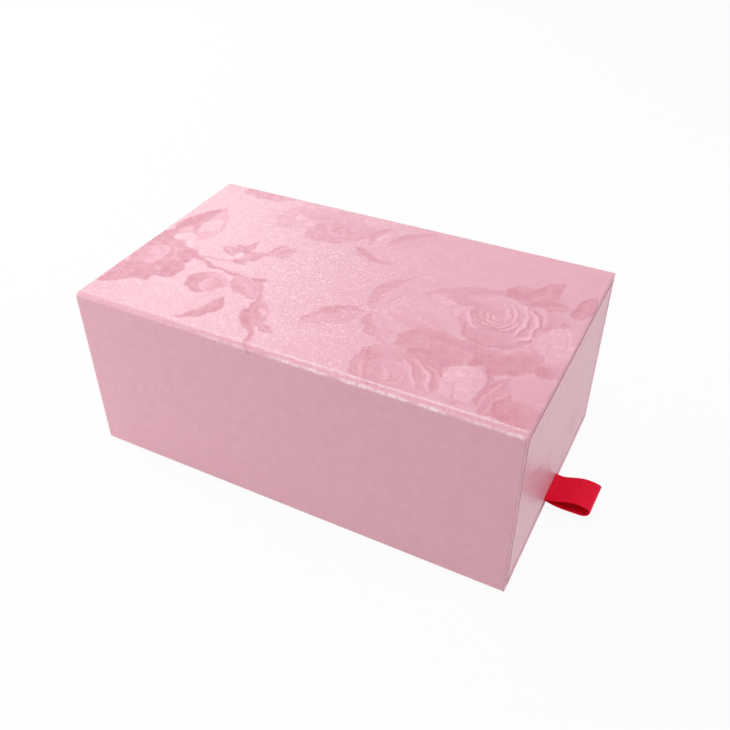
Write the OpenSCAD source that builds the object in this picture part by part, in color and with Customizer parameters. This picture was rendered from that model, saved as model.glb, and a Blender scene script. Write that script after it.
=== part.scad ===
// Sliding drawer gift box: a paper-covered board sleeve, closed at one end, and
// a tray that slides out of its mouth by a ribbon loop.
// Frame: +X points out of the mouth, +Z up, and the origin is the middle of the
// sleeve's base. Lengths are in millimetres.

/* [Sleeve] */
// Length of the sleeve, from its closed end to its mouth
sleeve_length = 225; // [150:1:320]
// Width of the sleeve
sleeve_width = 134; // [90:1:220]
// Height of the sleeve
sleeve_height = 94; // [50:1:160]
// Thickness of the sleeve's boards
sleeve_board = 3.0; // [2:0.1:4]
// Outside radius of the sleeve's four long folds
fold_radius = 2.5; // [1:0.1:4]
// Outside radius of the edges round the sleeve's mouth
mouth_radius = 1.6; // [0.4:0.1:1.7]
// How far the covering paper is turned into the mouth
mouth_turn_in = 18; // [8:1:40]
// How far the covering paper is turned over the closed end
end_turn_over = 14; // [8:1:24]

/* [Drawer] */
// Thickness of the drawer's boards
drawer_board = 2.0; // [1.5:0.1:3]
// Gap between the drawer and the sleeve on each long side
side_gap = 0.7; // [0.4:0.1:1.5]
// Gap under the drawer
rest_gap = 0.3; // [0.3:0.1:1]
// Gap over the drawer's rim
top_gap = 1.5; // [0.5:0.1:3]
// Gap behind the shut drawer
back_gap = 1.2; // [0.5:0.1:4]
// How far the drawer's face lies behind the mouth
face_set_back = 0; // [0:0.1:3]
// Outside radius of the fold at the foot of the drawer's face
foot_radius = 2.0; // [0.4:0.1:2.2]
// How far the covering paper is turned down inside the rim
rim_turn_down = 16; // [6:1:30]
// How far the covering paper is turned under the drawer's floor
floor_turn_under = 12; // [6:1:24]

/* [Paper and tape] */
// Thickness of the covering and lining papers
paper = 0.2; // [0.15:0.05:0.4]
// Thickness of the corner tapes
tape = 0.05; // [0.03:0.01:0.12]
// Width of a corner tape on each side of its corner
tape_width = 12; // [6:1:20]
// How far the covering paper goes past the tapes under the base
past_tape = 2; // [1:1:6]
// Bare border round the base and end sheets
sheet_margin = 4; // [2:0.5:5]

/* [Ribbon] */
// Width of the ribbon
ribbon_width = 20; // [10:1:40]
// Thickness of the ribbon
ribbon_thick = 0.45; // [0.3:0.05:0.8]
// How far the loop stands out of the drawer's face
loop_reach = 22.1; // [16:0.1:40]
// Height of the loop's crest over the slit
loop_rise = 3.0; // [2.5:0.1:8]
// Depth of the loop's belly below the slit
loop_dip = 2.2; // [0.5:0.1:2.8]
// Length of the ribbon's tails inside the drawer
tail_length = 30; // [15:1:60]
// Gap round the ribbon in its slit
slit_gap = 0.1; // [0.05:0.05:0.5]
// Border of the patch round the tails
patch_margin = 6; // [3:1:12]

/* [Hidden] */
$fn = 48;
// Overshoot of a cut past the face it opens
past = 1;

// Sleeve, from outside to inside. The base and end sheets lie over the turned
// paper, so the boards start two papers in from there.
mouth = sleeve_length / 2;
closed_end = -sleeve_length / 2;
turn_under = tape_width + past_tape;
sheet_half = sleeve_width / 2 - sheet_margin;
board_half = sleeve_width / 2 - paper;
board_low = 2 * paper;
board_top = sleeve_height - paper;
board_back = closed_end + 2 * paper;
board_front = mouth - paper;
wall_half = board_half - sleeve_board;
wall_low = board_low + sleeve_board;
wall_top = board_top - sleeve_board;
end_inside = board_back + sleeve_board;
turn_in_back = board_front - mouth_turn_in;
lip = min(mouth_radius, sleeve_board / 2 + paper);
lip_back = mouth - lip;

// The hollow that the drawer slides in
hollow_half = wall_half - paper;
hollow_low = wall_low + paper;
hollow_top = wall_top - paper;
hollow_back = end_inside + paper;
fold_half = min(sheet_half, hollow_half);

// Drawer, from outside to inside
drawer_back = hollow_back + back_gap;
drawer_face = mouth - face_set_back;
drawer_half = hollow_half - side_gap;
drawer_low = hollow_low + rest_gap;
drawer_top = hollow_top - top_gap;
tray_back = drawer_back + paper;
tray_face = drawer_face - paper;
tray_half = drawer_half - paper;
tray_low = drawer_low + 2 * paper;
tray_top = drawer_top - paper;
floor_top = tray_low + drawer_board;
foot = min(foot_radius, drawer_board);
foot_top = drawer_low + paper + foot;
inner_back = tray_back + drawer_board;
inner_face = tray_face - drawer_board;
inner_half = tray_half - drawer_board;
lined_back = inner_back + paper;
lined_face = inner_face - paper;
lined_half = inner_half - paper;
lined_floor = floor_top + paper;

// Ribbon: its two tails lie on each other on the lined floor
slit_half = ribbon_width / 2 + slit_gap;
slit_top = lined_floor + 2 * ribbon_thick + slit_gap;
upper_ply = lined_floor + 1.5 * ribbon_thick;
lower_ply = lined_floor + 0.5 * ribbon_thick;
crest = upper_ply + loop_rise;
belly = lower_ply - loop_dip;
tip = [loop_reach - ribbon_thick / 2, belly + 0.66 * (crest - belly)];
curve_steps = 12;

greyboard = "#9a8f84";
pearl_pink = "#d79cab";
liner_white = "#efe6e6";
kraft = "#b08f68";
ribbon_red = "#c4001f";

// A block between two opposite corners
module block(low, high) {
    translate(low) cube(high - low);
}

// A block that is centred on Y
module centred_block(x, half_y, z) {
    block([x[0], -half_y, z[0]], [x[1], half_y, z[1]]);
}

// Extrudes a YZ profile along X
module along_x(from, to) {
    translate([from, 0, 0]) rotate([90, 0, 90]) linear_extrude(to - from) children();
}

// Extrudes an XZ profile to both sides of the middle plane
module along_y(half) {
    rotate([90, 0, 0]) translate([0, 0, -half]) linear_extrude(2 * half) children();
}

// A YZ rectangle, centred on Y, with four round corners
module round_profile(half_y, low, top, radius) {
    for (y = [radius - half_y, half_y - radius], z = [low + radius, top - radius])
        translate([y, z]) circle(radius);
    translate([-half_y, low + radius]) square([2 * half_y, top - low - 2 * radius]);
    translate([radius - half_y, low]) square([2 * (half_y - radius), top - low]);
}

// The boards' outline, grown by some thickness of paper or tape
module board_profile(grown = 0) {
    round_profile(board_half + grown, board_low - grown, board_top + grown,
                  fold_radius - paper + grown);
}

// A rectangle that ends near the mouth in two round corners
module round_ended(half, middle, inset) {
    front = mouth - inset;
    outer = half - inset;
    radius = lip - inset;
    translate([closed_end - past, middle - outer])
        square([front - radius - closed_end + past, 2 * outer]);
    translate([lip_back, middle - outer + radius]) square([radius, 2 * (outer - radius)]);
    for (side = [-1, 1])
        translate([lip_back, middle + side * (outer - radius)]) circle(radius);
}

// All that lies inside the mouth's round outside edges, set in by some paper
module inside_lip(inset) {
    intersection() {
        along_y(sleeve_width) round_ended(sleeve_height / 2, sleeve_height / 2, inset);
        translate([0, 0, -past]) linear_extrude(sleeve_height + 2 * past)
            round_ended(sleeve_width / 2, 0, inset);
    }
}

// A rectangle, grown by some paper, that widens at the mouth round two lips
module flared(back, half, middle, grown) {
    translate([back, middle - half - grown]) square([mouth + past - back, 2 * (half + grown)]);
    difference() {
        translate([lip_back, middle - half - lip]) square([lip + past, 2 * (half + lip)]);
        for (side = [-1, 1])
            translate([lip_back, middle + side * (half + lip)]) circle(lip - grown);
    }
}

// The hollow from some place on, out through the mouth's round inside edges
module flared_hollow(back, grown) {
    half_height = (hollow_top - hollow_low) / 2;
    intersection() {
        along_y(sleeve_width) flared(back, half_height, hollow_low + half_height, grown);
        translate([0, 0, -past]) linear_extrude(sleeve_height + 2 * past)
            flared(back, hollow_half, 0, grown);
    }
}

// The ring of the sleeve's top, bottom and side boards
module board_ring() {
    difference() {
        intersection() {
            along_x(board_back, board_front) board_profile();
            inside_lip(paper);
        }
        flared_hollow(board_back - past, paper);
    }
}

// The four folded strips of tape along the sleeve's long folds
module tape_profile() {
    width = tape_width;
    difference() {
        board_profile(tape);
        board_profile();
        translate([width - board_half, -past])
            square([2 * (board_half - width), sleeve_height + 2 * past]);
        translate([-sleeve_width, board_low + width])
            square([2 * sleeve_width, board_top - board_low - 2 * width]);
    }
}

module sleeve_tapes() {
    along_x(board_back, lip_back) tape_profile();
}

module sleeve_top_board() {
    color(greyboard) intersection() {
        board_ring();
        centred_block([board_back, board_front], board_half, [wall_top, board_top]);
    }
}

module sleeve_bottom_board() {
    color(greyboard) intersection() {
        board_ring();
        centred_block([board_back, board_front], board_half, [board_low, wall_low]);
    }
}

// A side board, on the side that the sign names
module sleeve_side_board(side) {
    inner = side * wall_half;
    outer = side * board_half;
    color(greyboard) intersection() {
        board_ring();
        block([board_back, min(inner, outer), wall_low],
              [board_front, max(inner, outer), wall_top]);
    }
}

module sleeve_end_board() {
    color(greyboard) centred_block([board_back, end_inside], wall_half, [wall_low, wall_top]);
}

module sleeve_corner_tapes() {
    color(kraft) sleeve_tapes();
}

// One sheet round the top and the sides, turned over the closed end, under the
// base and into the mouth
module sleeve_wrap() {
    color(pearl_pink) difference() {
        intersection() {
            along_x(closed_end + paper, mouth) board_profile(paper);
            inside_lip(0);
        }
        board_ring();
        centred_block([board_back, turn_in_back], wall_half, [wall_low, wall_top]);
        flared_hollow(hollow_back, 0);
        // Window in the closed end
        centred_block([closed_end, board_back], sleeve_width / 2 - end_turn_over,
                      [paper + end_turn_over, sleeve_height - end_turn_over]);
        // Window in the base
        centred_block([closed_end + turn_under, mouth + past], sleeve_width / 2 - turn_under,
                      [0, board_low]);
        // The base sheet's own fold into the mouth
        centred_block([lip_back, mouth + past], fold_half, [0, hollow_low + paper / 2]);
        centred_block([turn_in_back - past, mouth], fold_half,
                      [wall_low, hollow_low + paper / 2]);
        sleeve_tapes();
    }
}

// The sheet under the base. Its rim lies on the turned-under paper, and it is
// folded into the mouth.
module sleeve_base_sheet() {
    color(pearl_pink) union() {
        centred_block([closed_end + sheet_margin, lip_back], sheet_half, [0, paper]);
        centred_block([closed_end + turn_under, lip_back], sleeve_width / 2 - turn_under,
                      [0, board_low]);
        centred_block([turn_in_back, lip_back], fold_half, [wall_low, hollow_low]);
        difference() {
            intersection() {
                centred_block([lip_back, mouth], fold_half, [0, hollow_low]);
                inside_lip(0);
            }
            board_ring();
            flared_hollow(hollow_back, 0);
        }
    }
}

module sleeve_end_sheet() {
    color(pearl_pink) union() {
        centred_block([closed_end, closed_end + paper], sheet_half,
                      [paper + sheet_margin, sleeve_height - sheet_margin]);
        centred_block([closed_end, board_back], sleeve_width / 2 - end_turn_over,
                      [paper + end_turn_over, sleeve_height - end_turn_over]);
    }
}

module sleeve_lining() {
    color(liner_white) difference() {
        centred_block([end_inside, turn_in_back], wall_half, [wall_low, wall_top]);
        centred_block([hollow_back, mouth], hollow_half, [hollow_low, hollow_top]);
    }
}

module ribbon_slit() {
    centred_block([lined_face - past, drawer_face + past], slit_half, [floor_top, slit_top]);
}

// What the round foot of the drawer's face cuts off, set in by some paper
module foot_cut(inset) {
    along_y(drawer_half + past) difference() {
        translate([drawer_face - foot, foot_top - foot - past]) square(foot + past);
        translate([drawer_face - foot, foot_top]) circle(foot - inset);
    }
}

// Tapes round the drawer's four upright corners
module drawer_tapes() {
    width = tape_width;
    difference() {
        centred_block([tray_back - tape, tray_face + tape], tray_half + tape,
                      [foot_top, tray_top]);
        centred_block([tray_back, tray_face], tray_half, [tray_low - past, tray_top + past]);
        centred_block([tray_back + width, tray_face - width], drawer_half + past,
                      [tray_low - past, tray_top + past]);
        centred_block([drawer_back - past, drawer_face + past], tray_half - width,
                      [tray_low - past, tray_top + past]);
    }
}

module drawer_floor_board() {
    color(greyboard) difference() {
        centred_block([tray_back, tray_face], tray_half, [tray_low, floor_top]);
        foot_cut(paper);
    }
}

module drawer_front_board() {
    color(greyboard) difference() {
        centred_block([inner_face, tray_face], tray_half, [floor_top, tray_top]);
        ribbon_slit();
    }
}

module drawer_back_board() {
    color(greyboard) centred_block([tray_back, inner_back], tray_half, [floor_top, tray_top]);
}

// A side board of the drawer, on the side that the sign names
module drawer_side_board(side) {
    inner = side * inner_half;
    outer = side * tray_half;
    color(greyboard)
        block([inner_back, min(inner, outer), floor_top],
              [inner_face, max(inner, outer), tray_top]);
}

module drawer_corner_tapes() {
    color(kraft) drawer_tapes();
}

// One sheet round the drawer's walls, turned down inside the rim and under the
// floor
module drawer_wrap() {
    color(pearl_pink) difference() {
        union() {
            difference() {
                centred_block([drawer_back, drawer_face], drawer_half,
                              [drawer_low + paper, drawer_top]);
                difference() {
                    centred_block([tray_back, tray_face], tray_half, [tray_low, tray_top]);
                    foot_cut(paper);
                }
            }
            centred_block([inner_back, inner_face], inner_half,
                          [tray_top - rim_turn_down, drawer_top]);
        }
        centred_block([lined_back, lined_face], lined_half, [lined_floor, drawer_top + past]);
        // Window in the underside
        centred_block([drawer_back + floor_turn_under, drawer_face - floor_turn_under],
                      drawer_half - floor_turn_under, [drawer_low, tray_low]);
        foot_cut(0);
        ribbon_slit();
        drawer_tapes();
    }
}

module drawer_base_sheet() {
    color(pearl_pink) union() {
        centred_block([drawer_back + sheet_margin, drawer_face - sheet_margin],
                      drawer_half - sheet_margin, [drawer_low, drawer_low + paper]);
        centred_block([drawer_back + floor_turn_under, drawer_face - floor_turn_under],
                      drawer_half - floor_turn_under, [drawer_low, tray_low]);
    }
}

module drawer_wall_lining() {
    color(liner_white) difference() {
        centred_block([inner_back, inner_face], inner_half,
                      [floor_top, tray_top - rim_turn_down]);
        centred_block([lined_back, lined_face], lined_half, [floor_top - past, drawer_top]);
        ribbon_slit();
    }
}

module drawer_floor_lining() {
    color(liner_white) centred_block([lined_back, lined_face], lined_half,
                                     [floor_top, lined_floor]);
}

// Points on a cubic curve with four control points
function on_curve(p, t) =
    pow(1 - t, 3) * p[0] + 3 * t * pow(1 - t, 2) * p[1]
    + 3 * t * t * (1 - t) * p[2] + pow(t, 3) * p[3];
function along_curve(p) = [for (i = [0 : curve_steps]) on_curve(p, i / curve_steps)];

// The unit normal at point i of a path
function normal_at(path, i) =
    let (ahead = path[min(i + 1, len(path) - 1)] - path[max(i - 1, 0)])
    [-ahead[1], ahead[0]] / norm(ahead);

// A strip of even thickness round a path, as an outline
function strip(path, thick) = concat(
    [for (i = [0 : len(path) - 1]) path[i] + normal_at(path, i) * thick / 2],
    [for (i = [len(path) - 1 : -1 : 0]) path[i] - normal_at(path, i) * thick / 2]);

// A point of the loop: its distance out as a share of the reach, and its height
function out(share, height) = [share * tip[0], height];

// The loop's upper leg rises to a crest, and its lower leg sags to a belly. They
// meet in a tight fold at the tip.
crest_point = out(0.76, crest);
belly_point = out(0.76, belly + 0.1 * loop_dip);
upper_leg = concat(
    along_curve([out(0, upper_ply), out(0.40, upper_ply), out(0.46, crest), crest_point]),
    along_curve([crest_point, out(0.90, crest), out(0.99, (crest + tip[1]) / 2), tip]));
lower_leg = concat(
    along_curve([tip, out(1, (belly + tip[1]) / 2), out(0.93, belly + 0.2 * loop_dip),
                 belly_point]),
    along_curve([belly_point, out(0.50, belly - 0.1 * loop_dip),
                 out(0.30, lower_ply - 0.7 * loop_dip), out(0, lower_ply)]));

// Drops the repeated point where two curves of a leg join
function joined(path) =
    [for (i = [0 : len(path) - 1]) if (i == 0 || path[i] != path[max(i - 1, 0)]) path[i]];

module ribbon_pull() {
    color(ribbon_red) union() {
        centred_block([lined_face - tail_length, drawer_face], ribbon_width / 2,
                      [lined_floor, lined_floor + 2 * ribbon_thick]);
        for (leg = [upper_leg, lower_leg])
            translate([drawer_face, ribbon_width / 2, 0]) rotate([90, 0, 0])
                linear_extrude(ribbon_width) polygon(strip(joined(leg), ribbon_thick));
    }
}

// A paper patch over the ribbon's tails
module ribbon_patch() {
    tail_back = lined_face - tail_length;
    tail_top = lined_floor + 2 * ribbon_thick;
    color(liner_white) difference() {
        union() {
            centred_block([tail_back - patch_margin, lined_face],
                          ribbon_width / 2 + patch_margin, [lined_floor, lined_floor + paper]);
            centred_block([tail_back - paper, lined_face], ribbon_width / 2 + paper,
                          [lined_floor, tail_top + paper]);
        }
        centred_block([tail_back, drawer_face], ribbon_width / 2,
                      [lined_floor - past, tail_top]);
    }
}

sleeve_top_board();
sleeve_bottom_board();
sleeve_side_board(-1);  // sleeve_near_board
sleeve_side_board(1);  // sleeve_far_board
sleeve_end_board();
sleeve_corner_tapes();
sleeve_wrap();
sleeve_base_sheet();
sleeve_end_sheet();
sleeve_lining();
drawer_floor_board();
drawer_front_board();
drawer_back_board();
drawer_side_board(-1);  // drawer_near_board
drawer_side_board(1);  // drawer_far_board
drawer_corner_tapes();
drawer_wrap();
drawer_base_sheet();
drawer_wall_lining();
drawer_floor_lining();
ribbon_pull();
ribbon_patch();
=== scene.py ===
import math

import bmesh
import bpy
import numpy as np
from mathutils import Matrix, Vector


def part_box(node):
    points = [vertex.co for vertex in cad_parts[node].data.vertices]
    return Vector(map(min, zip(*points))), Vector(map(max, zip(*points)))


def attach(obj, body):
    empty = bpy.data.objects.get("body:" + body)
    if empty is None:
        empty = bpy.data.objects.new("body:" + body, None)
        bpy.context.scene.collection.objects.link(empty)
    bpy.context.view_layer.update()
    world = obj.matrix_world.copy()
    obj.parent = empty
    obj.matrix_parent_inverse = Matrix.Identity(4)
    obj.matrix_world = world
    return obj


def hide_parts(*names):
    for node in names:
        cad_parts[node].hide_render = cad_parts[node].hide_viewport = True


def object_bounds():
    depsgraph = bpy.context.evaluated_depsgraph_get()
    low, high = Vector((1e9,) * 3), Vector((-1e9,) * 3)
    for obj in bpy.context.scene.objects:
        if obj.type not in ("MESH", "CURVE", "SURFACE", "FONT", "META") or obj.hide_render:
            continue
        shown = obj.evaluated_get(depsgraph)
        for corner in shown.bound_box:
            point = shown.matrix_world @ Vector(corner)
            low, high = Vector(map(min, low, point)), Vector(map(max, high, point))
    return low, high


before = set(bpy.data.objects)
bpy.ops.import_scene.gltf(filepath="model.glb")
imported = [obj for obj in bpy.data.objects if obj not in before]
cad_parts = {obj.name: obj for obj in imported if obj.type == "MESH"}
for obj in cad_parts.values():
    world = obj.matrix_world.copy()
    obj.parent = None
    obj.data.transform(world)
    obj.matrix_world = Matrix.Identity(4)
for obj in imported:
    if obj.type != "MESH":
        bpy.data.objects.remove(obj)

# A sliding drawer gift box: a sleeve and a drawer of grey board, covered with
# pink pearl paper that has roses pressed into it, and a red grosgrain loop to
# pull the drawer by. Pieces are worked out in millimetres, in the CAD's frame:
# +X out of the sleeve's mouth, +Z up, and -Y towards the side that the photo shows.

cad_low, cad_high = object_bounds()

MM = 0.001  # metres in a millimetre


# ---------------------------------------------------------------- sizes

def corners(node):
    """The lowest and highest corner of a CAD node, in millimetres."""
    low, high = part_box(node)
    return np.array(low) / MM, np.array(high) / MM


top_board_low, top_board_high = corners("sleeve_top_board")
wrap_low, wrap_high = corners("sleeve_wrap")
base_low, base_high = corners("sleeve_base_sheet")
tray_low, tray_high = corners("drawer_wrap")
floor_lining_low, floor_lining_high = corners("drawer_floor_lining")
ribbon_low, ribbon_high = corners("ribbon_pull")
patch_low, patch_high = corners("ribbon_patch")
turn_in_back = corners("sleeve_lining")[1][0]
rim_paper_low = corners("drawer_wall_lining")[1][2]
face_board_back = corners("drawer_front_board")[0][0]

paper = wrap_high[2] - top_board_high[2]
sleeve_board = top_board_high[2] - top_board_low[2]
mouth = wrap_high[0]
wall = sleeve_board + 2 * paper          # a sleeve wall with its two papers
half_width = wrap_high[1]
sleeve_top = wrap_high[2]


# ---------------------------------------------------------------- camera

LENS = 41.63                             # mm on a 36 mm sensor
CAMERA_AT = Vector((164.7, -305.1, 312.2)) * MM
CAMERA_AZIMUTH = math.radians(29.53)
CAMERA_ELEVATION = math.radians(37.88)
CAMERA_ROLL = math.radians(-1.673)
CAMERA_SHIFT = (0.0416, 0.0022)


def new_object(name, data):
    """A new object in the scene."""
    made = bpy.data.objects.new(name, data)
    bpy.context.scene.collection.objects.link(made)
    return made


def make_camera():
    """The camera that was fitted to the photo's edge lines."""
    camera = new_object("camera", bpy.data.cameras.new("camera"))
    camera.matrix_world = (
        Matrix.Translation(CAMERA_AT)
        @ Matrix.Rotation(CAMERA_AZIMUTH, 4, "Z")
        @ Matrix.Rotation(math.pi / 2 - CAMERA_ELEVATION, 4, "X")
        @ Matrix.Rotation(CAMERA_ROLL, 4, "Z"))
    camera.data.lens = LENS
    camera.data.shift_x, camera.data.shift_y = CAMERA_SHIFT
    camera.data.clip_start = 0.01
    bpy.context.scene.camera = camera


make_camera()


# ---------------------------------------------------------------- shader nodes

def linear(code):
    """The linear colour of an sRGB hex code."""
    shares = [int(code[i:i + 2], 16) / 255 for i in (1, 3, 5)]
    return [s / 12.92 if s < 0.04045 else ((s + 0.055) / 1.055) ** 2.4 for s in shares] + [1]


def add(tree, kind, inputs=None, **settings):
    """Adds a node to a tree. An input is set to a value, or linked to a socket."""
    made = tree.nodes.new(kind)
    for name, value in settings.items():
        setattr(made, name, value)
    for name, value in (inputs or {}).items():
        if isinstance(value, bpy.types.NodeSocket):
            tree.links.new(value, made.inputs[name])
        else:
            made.inputs[name].default_value = value
    return made


def new_material(name):
    """An empty node material and its tree."""
    material = bpy.data.materials.new(name)
    material.use_nodes = True
    material.node_tree.nodes.clear()
    return material, material.node_tree


def tint(tree, amount, first, second):
    """The colour from first to second by an amount. Each is a colour or a socket."""
    return add(tree, "ShaderNodeMix", {0: amount, 6: first, 7: second},
               data_type="RGBA").outputs[2]


def spread(tree, value, low, high, to_low, to_high):
    """A value's range from low to high, carried over to another range."""
    return add(tree, "ShaderNodeMapRange",
               {0: value, 1: low, 2: high, 3: to_low, 4: to_high}).outputs[0]


def clouded(tree, colour, other, field, low, high, amount=1.0):
    """A colour that goes over to another, by up to an amount, as a field goes from
    low to high."""
    return tint(tree, spread(tree, field, low, high, 0.0, amount), colour, linear(other))


def noise(tree, place, size, detail=2.0, roughness=0.5):
    """Soft noise whose lumps are about size millimetres across."""
    return add(tree, "ShaderNodeTexNoise",
               {"Vector": place, "Scale": 1 / (size * MM), "Detail": detail,
                "Roughness": roughness}).outputs[0]


def own_place(tree):
    """The point on the piece, in metres, which rides along with it."""
    return add(tree, "ShaderNodeTexCoord").outputs["Object"]


def bumped(tree, height, depth, below=None):
    """A normal from a height whose full range is depth millimetres."""
    inputs = {"Height": height, "Distance": depth * MM, "Strength": 1.0}
    if below is not None:
        inputs["Normal"] = below
    return add(tree, "ShaderNodeBump", inputs).outputs[0]


def surface(tree, inputs):
    """The piece's shader, joined to the output."""
    shader = add(tree, "ShaderNodeBsdfPrincipled", inputs)
    add(tree, "ShaderNodeOutputMaterial", {"Surface": shader.outputs[0]})


# ---------------------------------------------------------------- materials

# Pearl paper: mica-coated pink paper, with a pattern pressed in by a roller.
# The coating gives a soft satin sheen with a fine glitter, and the pressed
# parts are duller and a little deeper in colour. The ridges between them are
# paler, partly as painted highlight, and the creases are darker, as painted
# shade. A painted highlight lies along the front fold's crease and round edge.
PEARL_GROUND = "#e1a7b4"
PEARL_PRESSED = "#d58e9e"
# Paler, for pale clouds and for the light ridges, which are partly painted highlight; the
# creases' colour below is painted shade
PEARL_PALE_AND_HIGHLIGHT = "#f4bfca"
PEARL_CREASE_SHADE = "#c87b8f"
PEARL_FOLD_HIGHLIGHT = "#fde4e9"   # painted highlight along the front fold's crease and round edge
PEARL_GLINT = "#f3c6ce"    # of the few mica clusters that shine even without a lamp
MICA = 0.65            # mm across a cluster of mica flakes, drawn coarse enough to show
MICA_TILT = 0.6        # how far the clusters tilt, as a share of upright
PAPER_COCKLE = 14.0    # mm from wave to wave of the pasted paper
COAT, COAT_PRESSED = 0.25, 0.05    # how much clear coat is left where it is pressed


def pearl_paper(name, pressed):
    material, tree = new_material(name)
    place = own_place(tree)
    flakes = add(tree, "ShaderNodeTexVoronoi",
                 {"Vector": place, "Scale": 1 / (MICA * MM), "Randomness": 1.0})
    glint = add(tree, "ShaderNodeSeparateColor", {0: flakes.outputs["Color"]}).outputs[0]
    cloud = noise(tree, place, 6.0, 3.0)
    colour = clouded(tree, linear(PEARL_GROUND), PEARL_PALE_AND_HIGHLIGHT, cloud, 0.3, 0.7, 0.22)
    colour = clouded(tree, colour, PEARL_GLINT, glint, 0.75, 1.0, 0.22)
    roughness = spread(tree, glint, 0.0, 1.0, 0.36, 0.50)
    coat = COAT
    if pressed:
        values = add(tree, "ShaderNodeAttribute", attribute_name="pressed",
                     attribute_type="GEOMETRY")
        matt, light, dark = add(tree, "ShaderNodeSeparateColor",
                                {0: values.outputs["Color"]}).outputs
        colour = tint(tree, matt, colour, linear(PEARL_PRESSED))
        # Light ridges, partly painted highlight, and dark creases, painted shade
        colour = tint(tree, light, colour, linear(PEARL_PALE_AND_HIGHLIGHT))
        colour = tint(tree, dark, colour, linear(PEARL_CREASE_SHADE))
        # Painted highlight along the front fold, from the fourth value
        fold_highlight = spread(tree, glint, 0.0, 0.8, 0.55, 1.0)
        fold_highlight = add(tree, "ShaderNodeMath", {0: fold_highlight, 1: values.outputs["Alpha"]},
                     operation="MULTIPLY").outputs[0]
        colour = tint(tree, fold_highlight, colour, linear(PEARL_FOLD_HIGHLIGHT))
        roughness = add(tree, "ShaderNodeMix", {0: matt, 2: roughness, 3: 0.58}).outputs[0]
        coat = spread(tree, matt, 0.0, 1.0, COAT, COAT_PRESSED)
    grain = noise(tree, place, 0.5, 2.0)
    cockle = noise(tree, place, PAPER_COCKLE, 1.0)
    normal = bumped(tree, cockle, 0.10)
    normal = bumped(tree, grain, 0.012, normal)
    tilt = add(tree, "ShaderNodeVectorMath", {0: flakes.outputs["Color"], 1: (0.5, 0.5, 0.5)},
               operation="SUBTRACT").outputs[0]
    tilt = add(tree, "ShaderNodeVectorMath", {0: tilt, "Scale": MICA_TILT},
               operation="SCALE").outputs[0]
    tilted = add(tree, "ShaderNodeVectorMath", {0: normal, 1: tilt}, operation="ADD").outputs[0]
    tilted = add(tree, "ShaderNodeVectorMath", {0: tilted}, operation="NORMALIZE").outputs[0]
    surface(tree, {"Base Color": colour, "Roughness": roughness, "Normal": normal,
                   "IOR": 1.5, "Specular IOR Level": 0.3, "Coat Normal": tilted,
                   "Coat Weight": coat, "Coat Roughness": 0.1, "Coat IOR": 1.5})
    return material


# Lining paper: uncoated white offset paper, machine made. Its felt side gives
# a dull, faintly cloudy surface.
def lining_paper():
    material, tree = new_material("lining_paper_uncoated_offset")
    place = own_place(tree)
    cloud = noise(tree, place, 3.0, 4.0, 0.6)
    fibre = noise(tree, place, 0.35, 3.0, 0.6)
    colour = clouded(tree, linear("#efe9e6"), "#e6dedb", cloud, 0.3, 0.7)
    normal = bumped(tree, fibre, 0.02)
    surface(tree, {"Base Color": colour, "Roughness": 0.85, "Normal": normal,
                   "Specular IOR Level": 0.35})
    return material


# Greyboard: pressed from recycled paper pulp, and cut with a knife. It shows
# short fibres and dark and pale specks.
def greyboard():
    material, tree = new_material("greyboard_pressed_pulp")
    place = own_place(tree)
    pulp = noise(tree, place, 1.6, 5.0, 0.65)
    speck = add(tree, "ShaderNodeTexVoronoi", {"Vector": place, "Scale": 1 / (1.1 * MM)})
    colour = clouded(tree, linear("#8f867c"), "#a79d92", pulp, 0.3, 0.7)
    colour = clouded(tree, colour, "#5f5850", speck.outputs["Distance"], 0.10, 0.0, 0.6)
    normal = bumped(tree, pulp, 0.06)
    surface(tree, {"Base Color": colour, "Roughness": 0.9, "Normal": normal,
                   "Specular IOR Level": 0.3})
    return material


# Kraft tape: brown sulphate paper with a calendered face. It has a low shine
# and long pale fibres.
def kraft_tape():
    material, tree = new_material("kraft_tape_calendered")
    place = own_place(tree)
    stretched = add(tree, "ShaderNodeMapping", {"Vector": place, "Scale": (0.25, 1.0, 1.0)})
    fibre = noise(tree, stretched.outputs[0], 0.8, 4.0, 0.6)
    colour = clouded(tree, linear("#a98257"), "#bd9770", fibre, 0.35, 0.65)
    surface(tree, {"Base Color": colour, "Roughness": 0.55, "Normal": bumped(tree, fibre, 0.02),
                   "Specular IOR Level": 0.5})
    return material


# Grosgrain: polyester ribbon, woven with thick weft ribs across its width and
# dyed red. The ribs catch the light one by one, the thread has a low sheen, and
# some light passes through the cloth and warms the inside of the loop. The
# grooves between the ribs are a deeper red, as painted shade, and pale flecks
# along the thread are painted highlight.
RIB_PITCH = 0.9        # mm from rib to rib, drawn coarse enough to show


def grosgrain():
    material, tree = new_material("grosgrain_polyester_woven")
    place = own_place(tree)
    values = add(tree, "ShaderNodeAttribute", attribute_name="weave",
                 attribute_type="GEOMETRY").outputs["Color"]
    groove, selvedge, _ = add(tree, "ShaderNodeSeparateColor", {0: values}).outputs
    thread = noise(tree, place, 0.45, 1.0)
    # Painted shade: the grooves between the ribs are a deeper red
    colour = tint(tree, groove, linear("#ff0a3c"), linear("#dc022c"))
    colour = tint(tree, selvedge, colour, linear("#ea0430"))
    # Painted highlight: pale flecks along the thread
    colour = clouded(tree, colour, "#ff2c4c", thread, 0.5, 0.7, 0.35)
    surface(tree, {"Base Color": colour, "Roughness": 0.55,
                   "Normal": bumped(tree, thread, 0.02), "Specular IOR Level": 0.15,
                   "Subsurface Weight": 0.4, "Subsurface Radius": (1.0, 0.15, 0.15),
                   "Subsurface Scale": 0.8 * MM})
    return material


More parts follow.
